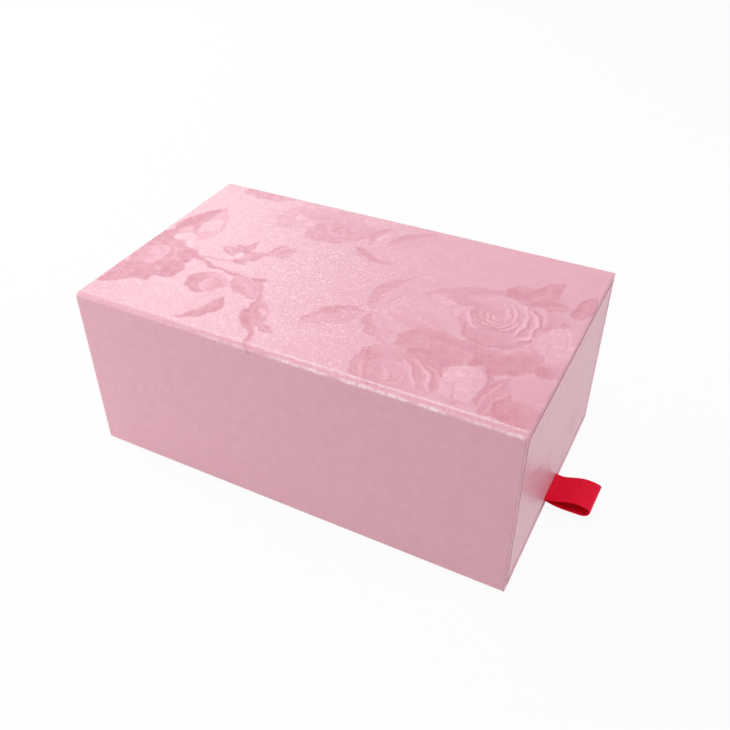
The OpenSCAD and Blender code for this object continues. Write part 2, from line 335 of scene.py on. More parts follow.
materials = {
    "pressed": pearl_paper("pearl_paper_mica_coated_pressed", True),
    "plain": pearl_paper("pearl_paper_mica_coated", False),
    "lining": lining_paper(),
    "board": greyboard(),
    "tape": kraft_tape(),
    "ribbon": grosgrain(),
}


# ---------------------------------------------------------------- pressed pattern

def smooth(value):
    """An even step from 0 to 1."""
    value = np.clip(value, 0, 1)
    return value * value * (3 - 2 * value)


def stroke(distance, width):
    """A soft line of a width, where distance is that from its middle."""
    return np.exp(-(distance / (0.6 * width)) ** 2)


def ripple(x, y, size, turn):
    """A wandering field, about from -1 to 1, whose waves are some millimetres long.
    Each turn gives another field."""
    field = 0
    for wave in range(5):
        angle = 2.4 * wave + turn
        steep = 2 * math.pi / (size * (0.75 + 0.15 * wave))
        field = field + np.sin(steep * (x * math.cos(angle) + y * math.sin(angle))
                               + 1.7 * wave * wave + 5 * turn)
    return field / 2.6


def bow(start, middle, end, sway=0.0, count=20):
    """Points along a curve through three points, which may sway from side to side."""
    steps = np.linspace(0, 1, count)[:, None]
    start, middle, end = (np.array(p, float) for p in (start, middle, end))
    pull = 2 * middle - (start + end) / 2
    path = (1 - steps) ** 2 * start + 2 * steps * (1 - steps) * pull + steps ** 2 * end
    length = np.linalg.norm(end - start)
    side = np.array([start[1] - end[1], end[0] - start[0]]) / length
    return path + sway * np.sin(2 * math.pi * steps * length / 8.5 + start[0]) * side


class Pressing:
    """The pattern that is pressed into a stretch of paper: what is matt, what
    is a light ridge or a dark crease, and how high each point stands, from -1
    to 1. The light ridges are partly painted highlight, and the dark creases are
    painted shade. Each motif covers what lies under it, and all of its lines wander a
    little. ragged frays the motifs' edges by parts of a millimetre, and mottle
    and fine are coarse and fine clouds from 0 to 1. Lengths are in millimetres,
    directions in degrees."""

    def __init__(self, x, y):
        self.x = x + 0.7 * ripple(x, y, 10.0, 0.3) + 0.16 * ripple(x, y, 4.1, 1.1)
        self.y = y + 0.7 * ripple(x, y, 10.0, 2.0) + 0.16 * ripple(x, y, 4.1, 4.2)
        self.ragged = 0.16 * ripple(x, y, 3.3, 0.7) + 0.12 * ripple(x, y, 1.7, 2.9)
        self.mottle = 0.5 + 0.5 * ripple(x, y, 6.5, 1.9)
        self.fine = 0.5 + 0.5 * ripple(x, y, 2.1, 3.3)
        self.matt, self.light, self.dark, self.height = (np.zeros(x.shape) for _ in range(4))

    def turned(self, at, towards):
        """Each point's place along and across a direction."""
        c, s = math.cos(math.radians(towards)), math.sin(math.radians(towards))
        dx, dy = self.x - at[0], self.y - at[1]
        return dx * c + dy * s, dy * c - dx * s

    def cover(self, inside, matt, height=0.0):
        """Lays a new shape over what is there."""
        self.light *= 1 - inside
        self.dark *= 1 - inside
        self.matt += (matt * (0.78 + 0.34 * self.fine) - self.matt) * inside
        self.height += (height - self.height) * inside

    def draw(self, light=0.0, dark=0.0):
        """Adds light ridges, partly painted highlight, and dark creases, painted shade, which
        come and go a little.
        """
        light = light * (0.7 + 0.3 * self.mottle)
        dark = dark * (0.5 + 0.5 * self.fine)
        self.light = np.maximum(self.light * (1 - dark), light)
        self.dark = np.maximum(self.dark * (1 - light), dark)
        self.height = np.clip(self.height + 0.9 * light - 0.5 * dark, -1, 1)

    def petal(self, at, towards, length, width, matt=0.7, waves=0, wave=0.05, phase=0.0,
              rim=0.2, crease=0.35, shade_towards=230.0, shading=0.5, pale=0.0):
        """A round petal whose lip may be wavy. Painted shade: its matt is deeper, by the
        shading, on the side that its shade direction points to, and its edge there is a
        dark crease; its other edge is a light rim, a painted highlight. pale makes it
        light and crackled."""
        along, across = self.turned(at, towards)
        u, v = along / (length / 2), across / (width / 2)
        reach = np.sqrt(u * u + v * v) + 1e-9
        lip = 1 + wave * np.cos(waves * np.arctan2(v, u) + phase) * (waves > 0)
        off = (reach - lip) * min(length, width) / 2 + self.ragged
        inside = smooth(0.5 - off / 0.9)
        # Painted shade on one side of the petal, and a painted highlight on the rim opposite
        shaded = smooth(0.5 + 0.75 * self.turned(at, shade_towards)[0] / (max(length, width) / 2))
        shade = matt * (1 - shading * (1 - shaded)) * (0.78 + 0.4 * self.mottle)
        dome = np.sqrt(np.clip(1 - reach * reach, 0, 1))
        self.cover(inside, shade, 0.3 * dome - 0.25 * (matt > 0.4))
        if pale:
            crackle = stroke(ripple(self.x, self.y, 3.6, 5.0), 0.30)
            self.draw(pale * (0.45 + 0.55 * self.mottle) * (1 - 0.6 * crackle) * inside,
                      0.35 * pale * crackle * self.fine * inside)
        self.draw(rim * stroke(off + 0.9, 1.1) * inside * (1 - shaded),
                  crease * stroke(off, 0.9) * shaded)

    def leaf(self, root, tip, width, bend=0.0, matt=(0.8, 0.3), veins=0.0, outline=0.3,
             rib=0.25):
        """A pointed leaf with a midrib. matt is that of its left and right half; the difference
        between the halves is painted shade.
        """
        root, tip = np.array(root, float), np.array(tip, float)
        length = np.linalg.norm(tip - root)
        along, across = self.turned(root, math.degrees(math.atan2(*(tip - root)[::-1])))
        share = np.clip(along / length, 0, 1)
        across = across - bend * 4 * share * (1 - share)
        half = width / 2 * np.sin(np.pi * share ** 0.8) ** 0.85
        past_ends = np.clip(-along, 0, None) + np.clip(along - length, 0, None)
        off = np.abs(across) - half + self.ragged + past_ends
        inside = smooth(0.5 - off / 0.8)
        left = smooth(0.5 + across / (0.2 * width))
        # Painted shade: one half of the leaf is deeper than the other
        shade = matt[0] * left + matt[1] * (1 - left)
        edge = smooth(0.4 + 0.6 * np.abs(across) / (half + 0.5))
        self.cover(inside, shade * (0.6 + 0.4 * edge) * (0.8 + 0.3 * self.mottle),
                   0.2 * (1 - np.abs(across) / (half + 0.5)) - 0.25 * shade)
        barbs = stroke(((along - 0.9 * np.abs(across)) / 3.1) % 1 - 0.5, 0.25)
        self.draw(rib * stroke(across, 0.8) * inside * (share < 0.93),
                  np.maximum(outline * stroke(off, 0.8) * (0.25 + shade),
                             veins * barbs * inside * (off < -0.7)))

    def line(self, start, middle, end, width=1.1, light=0.9, dark=0.45, matt=0.0, sway=0.0):
        """A line along a curve, thinner at its ends: a light rolled lip, partly painted
        highlight, with a dark crease on its left, painted shade, or with matt a stem."""
        nearest, side = np.full(self.x.shape, 1e9), np.zeros(self.x.shape)
        taper = np.zeros(self.x.shape)
        path = bow(start, middle, end, sway)
        for number, (a, b) in enumerate(zip(path, path[1:])):
            leg = b - a
            dx, dy = self.x - a[0], self.y - a[1]
            share = np.clip((dx * leg[0] + dy * leg[1]) / (leg @ leg), 0, 1)
            off = np.hypot(dx - share * leg[0], dy - share * leg[1])
            closer = off < nearest
            nearest = np.where(closer, off, nearest)
            side = np.where(closer, np.sign(leg[0] * dy - leg[1] * dx), side)
            taper = np.where(closer, (number + share) / (len(path) - 1), taper)
        if matt:
            inside = smooth(0.5 - (nearest - width / 2 + self.ragged) / 0.7)
            self.cover(inside, matt, 0.1)
        taper = smooth(6 * taper + 0.1) * smooth(6.1 - 6 * taper)
        self.draw(light * stroke(nearest, width) * taper,
                  dark * stroke(nearest * side - 0.5 - 0.5 * width, 0.9) * taper)

    def rings(self, at, towards, length, width, shares, opening=110.0, ridge=0.8, drift=0.0):
        """Nested U-shaped lips, as in the heart of a rose, open towards a direction."""
        for count, share in enumerate(shares):
            along, across = self.turned((at[0] + drift * count, at[1] + drift * count), towards)
            u, v = along / (length / 2 * share), across / (width / 2 * share)
            turn = np.arctan2(v, u)
            waves = 1 + 0.08 * np.cos(3 * turn + 2.1 * count) + 0.05 * np.cos(7 * turn + count)
            off = (np.sqrt(u * u + v * v) - waves) * min(length, width) / 2 * share
            facing = smooth((np.degrees(np.abs(turn)) - opening / 2) / 25)
            side = 0.65 + 0.35 * np.cos(turn + 1.2 * count + 1.0)
            self.draw(ridge * stroke(off, 1.3) * facing * side,
                      0.6 * ridge * stroke(off - 1.3, 0.9) * facing)

    def rays(self, at, towards, reach, fan=80.0, gap=7.0):
        """Fine creases that fan out from a point."""
        along, across = self.turned(at, towards)
        angle = np.degrees(np.arctan2(across, along))
        far = np.hypot(along, across)
        within = smooth((fan / 2 - np.abs(angle)) / 8) * smooth((reach - far) / 2) * (far > 1.5)
        width = np.clip(far * math.radians(gap), 0.5, None)
        lines = stroke(((angle / gap) % 1 - 0.5) * width, 0.5)
        self.draw(0.6 * lines * within, 0.35 * (1 - lines) * within)


def press_top(p):
    """The roses on the sleeve's top, from the closed end to the mouth."""
    # By the rear fold: a cut-off spray, a rose and three leaves
    p.petal((-86, 62), 0, 24, 11, matt=0.65, waves=5, crease=0.15, shading=0.3)
    p.petal((-74, 63), 20, 18, 9, matt=0.6, crease=0.1)
    p.petal((-54, 48), 80, 30, 20, matt=0.30, waves=3, crease=0.45, shade_towards=200)
    p.petal((-52, 51), 80, 16, 9, matt=0.0, pale=0.25, rim=0.3)
    p.petal((-42, 56), 10, 28, 15, matt=0.45, waves=4, shade_towards=270)
    p.petal((-20, 45), 50, 26, 17, matt=0.55, waves=5, phase=1, shade_towards=300)
    p.petal((-28, 50), 60, 24, 20, matt=0.55, waves=4, shade_towards=250)
    p.petal((-32, 37), 0, 24, 17, matt=0.6, waves=4, phase=2, crease=0.3, shade_towards=280)
    p.petal((-38, 45), 110, 12, 9, matt=0.65, rim=0.1)
    p.petal((-25, 46), 40, 13, 8, matt=0.65, rim=0.2)
    p.rings((-31, 42), 100, 15, 14, (0.95, 0.6, 0.3), ridge=0.35)
    p.line((-44, 35), (-33, 29), (-24, 34), light=0.3, dark=0.35)
    p.leaf((-6, 37), (-1.5, 60.5), 11, bend=0.5, matt=(0.7, 0.05))
    p.line((-4.5, 41), (-3, 46), (-1, 51), 2.0, light=0.8, dark=0.2)
    p.leaf((3.5, 38.5), (21.3, 61.5), 13, bend=1, matt=(0.65, 0.2))
    p.leaf((-11.5, 35), (12.2, 24), 10, bend=-0.6, matt=(0.15, 0.8), rib=0.4)
    # By the closed end: a large matt rose with a pointed leaf
    p.leaf((-99, -4), (-96.5, 38), 26, bend=-1.5, matt=(1.0, 0.35), outline=0.5)
    p.petal((-92, 17), 80, 17, 10, matt=0.1, pale=0.15, rim=0.2)
    p.petal((-104, -8), 90, 30, 26, matt=0.9, waves=4, shade_towards=180, shading=0.25)
    p.petal((-92, -17), 40, 26, 20, matt=0.95, waves=6, shade_towards=320, crease=0.2, shading=0.2)
    p.petal((-88, -27), -40, 20, 18, matt=1.0, waves=5, phase=1, shade_towards=300, shading=0.2)
    p.petal((-101, -36), 10, 28, 18, matt=0.95, waves=7, shade_towards=270, crease=0.2, shading=0.2)
    p.petal((-109, -45), 20, 18, 13, matt=0.95, waves=4, shade_towards=270, crease=0.2, shading=0.2)
    p.petal((-104, -20), 60, 21, 18, matt=0.7, waves=3, rim=0.3, shade_towards=200)
    p.line((-99, -8), (-91, -15), (-93, -26), 2.4, light=0.35, dark=0.2)
    p.line((-109, -14), (-101, -17), (-97, -26), 2.0, light=0.3, dark=0.25)
    p.line((-111, -36), (-103, -37), (-96, -33), 0.9, light=0.05, dark=0.6)
    p.petal((-98, 2), 20, 12, 8, matt=0.0, pale=0.55, rim=0.5)
    p.petal((-91, -2.5), -50, 10, 6.5, matt=0.05, pale=0.5, rim=0.5)
    p.petal((-102, 8), 60, 9, 6, matt=0.5)
    # Its stems, a sprig, a bud and their leaves
    p.line((-84, -10), (-62, -17.5), (-36, -17), 1.9, light=0.1, dark=0.5, matt=1.0)
    p.line((-80, -11), (-66, -9.5), (-52, -8), 1.2, light=0.2, dark=0.3, matt=0.8)
    p.line((-38, -18), (-33, -26), (-29, -33), 1.4, light=0.1, dark=0.4, matt=0.9)
    p.leaf((-61, -1), (-59.3, 14.5), 4.4, matt=(1.0, 0.9))
    p.leaf((-61, 0), (-67, 8.5), 5, matt=(1.0, 0.9))
    p.leaf((-60, -1), (-75, 2), 6, matt=(0.8, 0.7))
    p.leaf((-60, -4), (-48, 6), 8.5, matt=(0.75, 0.85))
    p.petal((-57, -5), 60, 9, 8, matt=0.8)
    p.petal((-61, -2.5), 90, 8, 5, matt=0.0, pale=0.7, rim=0.5)
    p.leaf((-47, 3), (-43.5, 18.5), 7, matt=(0.75, 0.45))
    p.leaf((-42, 4), (-38.5, 18), 6, matt=(0.8, 0.5))
    p.leaf((-52, -19), (-31, -32), 13, matt=(0.55, 0.7), veins=0.15)
    p.petal((-61, -30), 10, 21, 18, matt=0.85, waves=7, wave=0.05, rim=0.3, crease=0.6, shade_towards=200)
    p.petal((-58, -31), 20, 13, 11, matt=0.7, waves=3, rim=0.3, shade_towards=20)
    p.line((-68, -26), (-60, -22.5), (-53, -27), 1.1, light=0.5, dark=0.3)
    p.line((-62, -36), (-56, -36), (-53, -31), 1.0, light=0.5, dark=0.3)
    p.leaf((-47, -36), (-57, -60), 15, bend=1.2, matt=(0.95, 0.08), rib=0.5, outline=0.8)
    # A second bud, whose stem runs over the front fold
    p.line((-23, -48), (-19.5, -57), (-14, -69), 2.0, light=0.1, dark=0.4, matt=0.95)
    p.petal((-25, -42.5), 105, 22, 13, matt=1.0, shade_towards=200, crease=0.5)
    p.petal((-22, -43), 105, 14, 7, matt=0.45, rim=0.3, shade_towards=330)
    p.leaf((-21, -52), (-31, -36), 6.5, matt=(1.0, 0.9))
    p.leaf((-19, -50), (-10.5, -52.5), 5.4, bend=1, matt=(0.95, 0.7))
    # The leaf pair in the middle
    p.leaf((20.5, -15), (28.5, 19), 15, bend=1.5, matt=(0.6, 0.1), outline=0.5)
    p.line((26, -9), (29.5, 2), (28.5, 14), 1.2, light=0.25, dark=0.5)
    p.leaf((19, -18), (-4, -38), 14, bend=-0.6, matt=(0.35, 0.75))
    p.leaf((21.5, -17), (41, -37), 12, bend=-1.2, matt=(0.2, 0.65))
    p.leaf((29, -12), (63, -20), 12, bend=1, matt=(0.12, 0.35), veins=0.0, outline=0.5)
    p.line((33, -13), (47, -14), (60, -19), 1.0, light=0.2, dark=0.3)
    # The main rose's leaves
    p.leaf((84, 20), (37.5, 8), 17, bend=-1.5, matt=(0.5, 0.45), veins=0.25, outline=0.45)
    p.petal((80, 29), 30, 19, 13, matt=0.9, waves=5)
    p.petal((92, 25), 0, 22, 14, matt=0.75, waves=4)
    p.leaf((85, 22), (93.5, 45), 11, matt=(0.85, 0.7))
    p.leaf((88, 20), (103, 25), 8, matt=(0.9, 0.7))
    p.leaf((107, 18), (110, 40), 9, matt=(0.9, 0.8))
    p.leaf((92, 12), (107, 9), 8, matt=(0.9, 0.6))
    p.petal((97, 12), 80, 18, 9, matt=0.55)
    # The matt clusters below the main rose
    p.petal((54, -27), 20, 27, 20, matt=0.85, waves=5, crease=0.12, shading=0.2)
    p.petal((49, -33), 60, 18, 15, matt=0.7, waves=4, crease=0.12, shading=0.2)
    p.petal((73, -25), 0, 20, 16, matt=0.8, waves=4, crease=0.12, shading=0.2)
    p.petal((84, -29), 30, 19, 16, matt=0.9, waves=5, crease=0.12, shading=0.2)
    p.petal((96, -24), 60, 21, 16, matt=0.8, waves=4, crease=0.12, shading=0.2)
    p.petal((66, -33), 30, 20, 16, matt=0.75, waves=5, crease=0.12, shading=0.2)
    # The main rose: outer petals, wavy petals to its right, cup and bowl
    p.petal((47, 6), -10, 14, 7, matt=0.05, waves=3, pale=0.5, rim=0.6)
    p.petal((60, 2), 60, 13, 9, matt=0.05, waves=3, pale=0.5, rim=0.5)
    p.petal((70, 16), 5, 28, 11, matt=0.25, waves=4, wave=0.06, rim=0.5, pale=0.2)
    p.petal((87, 1), 80, 38, 17, matt=0.5, waves=6, wave=0.05, rim=0.5, crease=0.5)
    p.petal((66, -3), 110, 20, 13, matt=0.4, waves=3, rim=0.5)
    p.petal((76, -9), 0, 25, 18, matt=0.6, rim=0.15, crease=0.75, shade_towards=250)
    p.petal((75, 4), 0, 25, 21, matt=0.55, waves=4, wave=0.04, rim=0.4)
    p.rings((74.5, 3.5), 95, 19, 20, (0.98, 0.74, 0.50, 0.27), ridge=0.95, drift=0.25)
    p.line((80, 20), (87, 9), (85, -10), 1.6, light=1.0, dark=0.8, sway=0.6)
    p.line((85, 17), (93, 5), (88, -12), 1.8, light=1.0, dark=0.8, sway=0.8)
    p.line((77, 18), (81, 10), (83, 1), 1.3, light=1.0, dark=0.7, sway=0.4)
    p.line((75, 14), (78.5, 9), (79, 1), 1.0, light=0.8, dark=0.5)
    p.line((64, 12), (70, 19), (79, 20), 1.2, light=0.7, dark=0.2)
    p.line((91, -2), (95, -6), (91, -13), 1.4, light=0.7, dark=0.4)
    p.line((62, 6), (64, -3), (71, -8), 1.6, light=1.0, dark=0.4)
    # The lower rose, cut by the front fold
    p.petal((43, -50), 70, 28, 24, matt=0.6, waves=5, rim=0.3, crease=0.5, shade_towards=200)
    p.petal((37, -44), 80, 12, 7, matt=0.95, crease=0.5)
    p.petal((58, -49), 110, 32, 24, matt=0.75, waves=6, rim=0.3, shade_towards=60)
    p.petal((48, -55), 0, 26, 18, matt=0.6, waves=4, rim=0.3)
    p.rings((48, -54), 80, 17, 15, (0.95, 0.6, 0.3), ridge=0.45)
    p.line((53, -41), (62, -47), (68, -60), 1.5, light=0.8, dark=0.5)
    p.line((48, -43), (56, -49), (62, -61), 1.5, light=0.6, dark=0.5)
    p.line((60, -41), (68, -48), (72, -57), 1.2, light=0.5, dark=0.4)
    p.line((42, -52), (48, -54), (49, -62), 1.5, light=0.6, dark=0.3)
    p.line((36, -49), (36, -56), (40, -63), 1.5, light=0.5, dark=0.3)
    # A light flower and veined leaves near the mouth's front corner
    p.leaf((92, -62), (97, -34), 17, matt=(0.75, 0.85), veins=0.35)
    p.line((88, -62), (90, -50), (94, -38), 1.0, light=0.5, dark=0.3)
    p.line((92, -64), (94, -52), (98, -42), 1.0, light=0.5, dark=0.3)
    p.petal((104, -38), 80, 22, 17, matt=0.3, waves=4, pale=0.15, rim=0.3, shade_towards=300)
    p.petal((106, -55), 10, 24, 16, matt=0.95, waves=5)
    p.petal((79, -47), 75, 28, 18, matt=0.15, waves=7, wave=0.08, rim=0.5, crease=0.8, pale=0.45,
            shade_towards=350)
    p.petal((75, -42), 60, 15, 11, matt=0.0, waves=4, wave=0.08, pale=0.9, rim=0.5)
    p.petal((81, -52), 100, 15, 10, matt=0.0, waves=5, wave=0.08, pale=0.6, rim=0.5, crease=0.5)
    p.line((79, -36), (86, -40), (84, -54), 1.1, light=0.2, dark=0.8)
    # The flower that the mouth's edge cuts
    p.petal((103, -3), 70, 24, 14, matt=0.05, waves=5, wave=0.07, rim=0.8, pale=0.6)
    p.petal((109, -8), 20, 15, 12, matt=0.1, waves=4, rim=0.6, pale=0.8)
    p.line((100, 10), (106, 2), (108, -10), 1.2, light=0.7, dark=0.4)
    p.rays((105, -9), -70, 17)
    p.petal((108, -24), 30, 12, 9, matt=0.9)


def press_face(p):
    """The leaves on the drawer's face, where x is across and y is the height."""
    p.leaf((-2, 14), (-55, 61), 19, bend=2, matt=(0.2, 0.55), outline=0.2, veins=0.1)
    p.petal((-22, 40), 40, 26, 17, matt=0.35, waves=4, crease=0.2)
    p.petal((30, 30), 100, 24, 15, matt=0.3, waves=3, crease=0.15)


# ---------------------------------------------------------------- paper sheets

def even(start, end, step):
    """Even places from start to end, with steps no longer than step."""
    return list(np.linspace(start, end, max(2, math.ceil(abs(end - start) / step) + 1)))


def stepped(start, *stretches):
    """Places in a row from start, in stretches that each have an end and a step."""
    places = [start]
    for end, step in stretches:
        places += even(places[-1], end, step)[1:]
    return np.array(places)


def way_along(path):
    """How far along a path each of its points lies."""
    return np.concatenate([[0], np.cumsum(np.hypot(*np.diff(path, axis=0).T))])


def arc(centre, radius, start, end, steps):
    """Points on an arc between two angles in degrees."""
    angles = np.radians(np.linspace(start, end, steps + 1))
    return [(centre[0] + radius * math.cos(a), centre[1] + radius * math.sin(a))
            for a in angles]


def object_from(name, points, faces, smooth_faces):
    """A mesh object from points in millimetres. The first faces are smooth."""
    mesh = bpy.data.meshes.new(name)
    mesh.from_pydata([tuple(p) for p in np.array(points) * MM], [], faces)
    flags = np.zeros(len(faces), bool)
    flags[:smooth_faces] = True
    mesh.polygons.foreach_set("use_smooth", flags)
    mesh.update()
    return new_object(name, mesh)


def keep_values(piece, name, values):
    """Keeps four numbers for each point of a piece, for its material to read."""
    kept = piece.data.attributes.new(name, "FLOAT_COLOR", "POINT")
    kept.data.foreach_set("color", values.astype(np.float32).ravel())


def quads(grid):
    """The four-sided faces between the neighbouring points of a grid."""
    return np.stack([grid[:-1, :-1], grid[1:, :-1], grid[1:, 1:], grid[:-1, 1:]],
                    -1).reshape(-1, 4)


def drawn_in(place, low, high, depth, corner, slack):
    """Carries places between low and high over to a window that is smaller by depth
    at either end. What lies within corner of an end is squeezed into the slack."""
    return np.interp(place, [low, low + corner, high - corner, high],
                     [low + depth, low + depth + slack, high - depth - slack, high - depth])


def paper_shell(name, front, back, row_stops, column_stops, kept, values=None):
    """A sheet of paper as a closed mesh: a fine front, a coarse back, and walls
    along its cut edges. front and back are grids of points. The sheet is made of
    patches between neighbouring stops, and kept(row, column) says which of them
    there are. If the last row is the first again, the sheet closes on itself.
    values holds four numbers for each front point, kept as "pressed"."""
    rows, columns = front.shape[:2]
    fine = np.arange(rows * columns).reshape(rows, columns)
    coarse = fine + rows * columns
    if np.allclose(front[0], front[-1]):
        fine[-1], coarse[-1] = fine[0], coarse[0]
    closed = fine[-1, 0] == fine[0, 0]
    row_spans = list(zip(row_stops, row_stops[1:]))
    column_spans = list(zip(column_stops, column_stops[1:]))
    there = {(i, j) for i in range(len(row_spans)) for j in range(len(column_spans))
             if kept(i, j)}
    fronts, others = [], []
    for i, j in sorted(there):
        (r0, r1), (c0, c1) = row_spans[i], column_spans[j]
        fronts.append(quads(fine[r0:r1 + 1, c0:c1 + 1]))
        others.append([coarse[r0, c0], coarse[r0, c1], coarse[r1, c1], coarse[r1, c0]])
        before = (i - 1) % len(row_spans) if closed else i - 1
        after = (i + 1) % len(row_spans) if closed else i + 1
        if (before, j) not in there:
            others.append([*fine[r0, c0:c1 + 1], coarse[r0, c1], coarse[r0, c0]])
        if (after, j) not in there:
            others.append([*fine[r1, c0:c1 + 1][::-1], coarse[r1, c0], coarse[r1, c1]])
        if (i, j - 1) not in there:
            others.append([*fine[r0:r1 + 1, c0][::-1], coarse[r0, c0], coarse[r1, c0]])
        if (i, j + 1) not in there:
            others.append([*fine[r0:r1 + 1, c1], coarse[r1, c1], coarse[r0, c1]])
    front_faces = np.concatenate(fronts)
    faces = front_faces.tolist() + [[int(k) for k in face] for face in others]
    used = np.unique([k for face in faces for k in face])
    new_index = {int(k): n for n, k in enumerate(used)}
    faces = [[new_index[k] for k in face] for face in faces]
    points = np.concatenate([front.reshape(-1, 3), back.reshape(-1, 3)])[used]
    made = object_from(name, points, faces, len(front_faces))
    if values is not None:
        fill = np.zeros((2 * rows * columns, 4))
        fill[:rows * columns] = values.reshape(-1, 4)
        keep_values(made, "pressed", fill[used])
    return made


def turn_out(piece):
    """Makes all of a closed piece's faces look outwards."""
    shape = bmesh.new()
    shape.from_mesh(piece.data)
    bmesh.ops.recalc_face_normals(shape, faces=shape.faces)
    shape.to_mesh(piece.data)
    shape.free()


def finish_piece(piece, material, body, node):
    """Turns a new piece's faces outwards, gives it its material and body, and hides
    the CAD node that it stands for."""
    turn_out(piece)
    piece.data.materials.append(materials[material])
    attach(piece, body)
    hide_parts(node)


# ---------------------------------------------------------------- sleeve paper

GROUND_DEPTH = 0.10     # how far the plain ground lies below the highest ridges
RELIEF = 0.10           # the height that the pattern rises by, at most
SUNK_SHARE = 0.4        # the pattern sinks less than it rises
RELIEF_END = 66.0       # the relief fades out before this place, at the rear fold
FOLD_RADIUS = 2.5
FRONT_EDGE_RADIUS = 1.2
FRONT_EDGE_HEIGHT = 92.37   # where the near side ends and its round edge begins
PATTERN_FADE = 4.0          # the pattern fades out this far down the near side
FRONT_BAND_SLOPE = 17.0     # degrees, where that edge meets the band
# The band along the top's front fold, as distances from the near side and depths
# below the top: it slopes up to a crease that stands a little proud
FRONT_BAND = ((1.7, 0.25), (2.1, 0.155), (2.5, 0.115), (3.3, 0.10), (3.7, 0.0),
              (4.1, GROUND_DEPTH))
FRONT_CREASE = 3.7
BAND_MATT = 0.4         # how matt the band's fine clouds are, at most
LIP_RADIUS = 0.7        # of the round edge of the mouth, outside
LIP_INSIDE_RADIUS = 1.6
LIP_STEPS = 6
END_EDGE_RADIUS = 0.6
END_TURN_OVER = 14.0
BASE_TURN_UNDER = 14.0
SHEET_MARGIN = 4.0      # from the closed end to the edge of the sheet under the base
FINE, COARSE = 0.56, 0.8    # spacing of the points on the top
FINE_ACROSS_TO = 12.0       # the near roses end here, and coarser points will do
COARSE_FROM, COARSE_TO = -74.0, 22.0    # between the roses at either end

turn_under_end = base_low[0] - SHEET_MARGIN + BASE_TURN_UNDER   # under the base


def sleeve_section():
    """The paper's outline across the sleeve, as points (y, z) from one edge under
    the base, round near side, top and far side, and across the base again. Also
    gives the stops, which are the ends of its straight and round stretches."""
    low = wrap_low[2]
    ground = sleeve_top - GROUND_DEPTH
    stretches = []

    def straight(end, step=1e9):
        start = stretches[-1][-1]
        count = max(1, math.ceil(math.dist(start, end) / step))
        shares = np.linspace(0, 1, count + 1)[1:]
        stretches.append([(start[0] + (end[0] - start[0]) * s, start[1] + (end[1] - start[1]) * s)
                          for s in shares])

    margin = half_width - BASE_TURN_UNDER
    rim = base_high[1]
    turn = half_width - FOLD_RADIUS
    stretches.append([(-margin, low)])
    straight((-rim, low))
    straight((-turn, low))
    for point in arc((-turn, low + FOLD_RADIUS), FOLD_RADIUS, 270, 180, 6)[1:]:
        straight(point)
    edge = (-half_width + FRONT_EDGE_RADIUS, FRONT_EDGE_HEIGHT)
    straight((-half_width, edge[1] - PATTERN_FADE))
    straight((-half_width, edge[1]), FINE)
    for point in arc(edge, FRONT_EDGE_RADIUS, 180, 90 + FRONT_BAND_SLOPE, 6)[1:]:
        straight(point)
    for far, depth in FRONT_BAND:
        straight((far - half_width, sleeve_top - depth), 0.4)
    straight((FINE_ACROSS_TO, ground), FINE)
    straight((turn, ground), COARSE)
    for point in arc((turn, ground - FOLD_RADIUS), FOLD_RADIUS, 90, 0, 6)[1:]:
        straight(point)
    for point in arc((turn, low + FOLD_RADIUS), FOLD_RADIUS, 0, -90, 6):
        straight(point)
    straight((rim, low))
    straight((margin, low))
    straight((-margin, low))
    stops = np.cumsum([len(s) for s in stretches]) - 1
    return np.array([p for s in stretches for p in s]), [int(s) for s in stops]


def mouth_lip(thick, shift):
    """The round edge of the mouth of a wall of some thickness, as places (x, inset)
    from the outside to the inside, set in by shift."""
    outer = arc((mouth - LIP_RADIUS, -LIP_RADIUS), LIP_RADIUS - shift, 90, 0, LIP_STEPS)
    inner = arc((mouth - LIP_INSIDE_RADIUS, LIP_INSIDE_RADIUS - thick),
                LIP_INSIDE_RADIUS - shift, 0, -90, LIP_STEPS)
    return [(x, -y) for x, y in outer + inner]


def sleeve_lengthwise():
    """Places along the sleeve's paper, as (x, inset), from the sheet's edge on the
    closed end, along the outside, round the mouth's edge and back inside. inset is
    the depth below the outside. Also gives the same places on the paper's back,
    and the stops."""
    end = wrap_low[0]
    places = [(end, END_TURN_OVER), (end, END_EDGE_RADIUS)]
    places += [(x, -y) for x, y in arc((end + END_EDGE_RADIUS, -END_EDGE_RADIUS),
                                       END_EDGE_RADIUS, 180, 90, 3)[1:]]
    stops = [0, 1, 2, 3, 4]
    backs = [(max(x, end + paper), max(inset, paper)) for x, inset in places]
    start = end + END_EDGE_RADIUS
    ends = (turn_under_end, COARSE_FROM, COARSE_TO, mouth - LIP_RADIUS)
    for stop, step in zip(ends, (FINE, FINE, COARSE, FINE)):
        places += [(x, 0.0) for x in even(start, stop, step)[1:]]
        stops.append(len(places) - 1)
        start = stop
    backs += [(x, paper) for x, _ in places[len(backs):]]
    for row, shift in ((places, 0), (backs, paper)):
        row += mouth_lip(wall, shift)[1:]
        row.append((turn_in_back, wall - shift))
    stops += range(stops[-1] + 1, len(places))
    return np.array(places), np.array(backs), stops


def painted_fold_highlights(x, run, inset):
    """Painted highlight along the front fold: its thin crease and its round edge, most
    of all towards the mouth, broken into beads. run is the way across the paper from the near
    side."""
    beads = smooth(0.5 + 0.7 * ripple(x, run, 2.8, 0.4))
    growing = smooth((x + 95) / 150)
    slow = smooth(0.6 + 0.5 * ripple(x, 0, 17.0, 1.3))
    crease = stroke(run - FRONT_CREASE, 0.9) * (0.25 + 0.6 * growing) * (0.6 + 0.4 * beads)
    edge = stroke(run - 0.1, 1.25) * (0.1 + 1.3 * growing * slow) * (0.3 + 0.7 * beads)
    return np.clip(crease + edge, 0, 1) * (inset < 0.01) * smooth((mouth - LIP_RADIUS - x) / 1.5)


